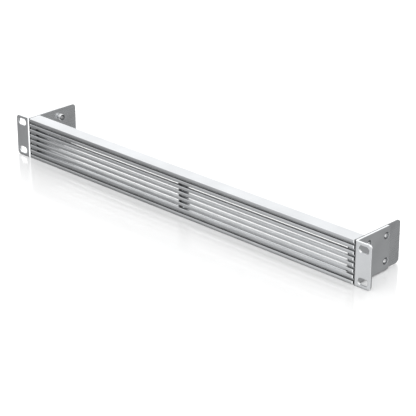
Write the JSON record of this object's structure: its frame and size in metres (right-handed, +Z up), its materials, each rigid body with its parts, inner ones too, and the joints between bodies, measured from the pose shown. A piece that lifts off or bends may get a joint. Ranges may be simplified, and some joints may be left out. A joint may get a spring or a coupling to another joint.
{
  "type": "vented blanking panel",
  "caption": "Vented blanking panel for a 19 inch rack, one unit high, with a ribbed front grille and bolt-on slotted ears.",
  "frame": {"origin": "middle of the outer box in plan, on the plane of its lowest faces", "axes": "+X across the rack to the right seen from the front, +Y back into the rack, +Z up"},
  "size_m": [0.4826, 0.0652, 0.0442],
  "materials": {
    "satin_aluminium": "satin bead-blasted",
    "moulded_frame": "fine moulded texture",
    "plated_steel": "satin plated sheet",
    "brushed_ear_steel": "satin plated sheet",
    "screw_steel": "zinc plated",
    "nut_steel": "zinc plated"
  },
  "bodies": {
    "root": {"arm_screw_left_lower": "screw_steel", "arm_screw_left_upper": "screw_steel", "arm_screw_right_lower": "screw_steel", "arm_screw_right_upper": "screw_steel", "clinch_nut_left_lower_front": "nut_steel", "clinch_nut_left_lower_rear": "nut_steel", "clinch_nut_left_upper_front": "nut_steel", "clinch_nut_left_upper_rear": "nut_steel", "clinch_nut_right_lower_front": "nut_steel", "clinch_nut_right_lower_rear": "nut_steel", "clinch_nut_right_upper_front": "nut_steel", "clinch_nut_right_upper_rear": "nut_steel", "ear_screw_left_lower_front": "screw_steel", "ear_screw_left_lower_rear": "screw_steel", "ear_screw_left_upper_front": "screw_steel", "ear_screw_left_upper_rear": "screw_steel", "ear_screw_right_lower_front": "screw_steel", "ear_screw_right_lower_rear": "screw_steel", "ear_screw_right_upper_front": "screw_steel", "ear_screw_right_upper_rear": "screw_steel", "frame_screw_lower_1": "screw_steel", "frame_screw_lower_2": "screw_steel", "frame_screw_lower_3": "screw_steel", "frame_screw_lower_4": "screw_steel", "frame_screw_lower_5": "screw_steel", "frame_screw_upper_1": "screw_steel", "frame_screw_upper_2": "screw_steel", "frame_screw_upper_3": "screw_steel", "frame_screw_upper_4": "screw_steel", "frame_screw_upper_5": "screw_steel", "front_grille": "satin_aluminium", "rack_ear_left": "brushed_ear_steel", "rack_ear_right": "brushed_ear_steel", "side_arm_left": "plated_steel", "side_arm_right": "plated_steel", "vent_frame": "moulded_frame"}
  },
  "joints": []
}
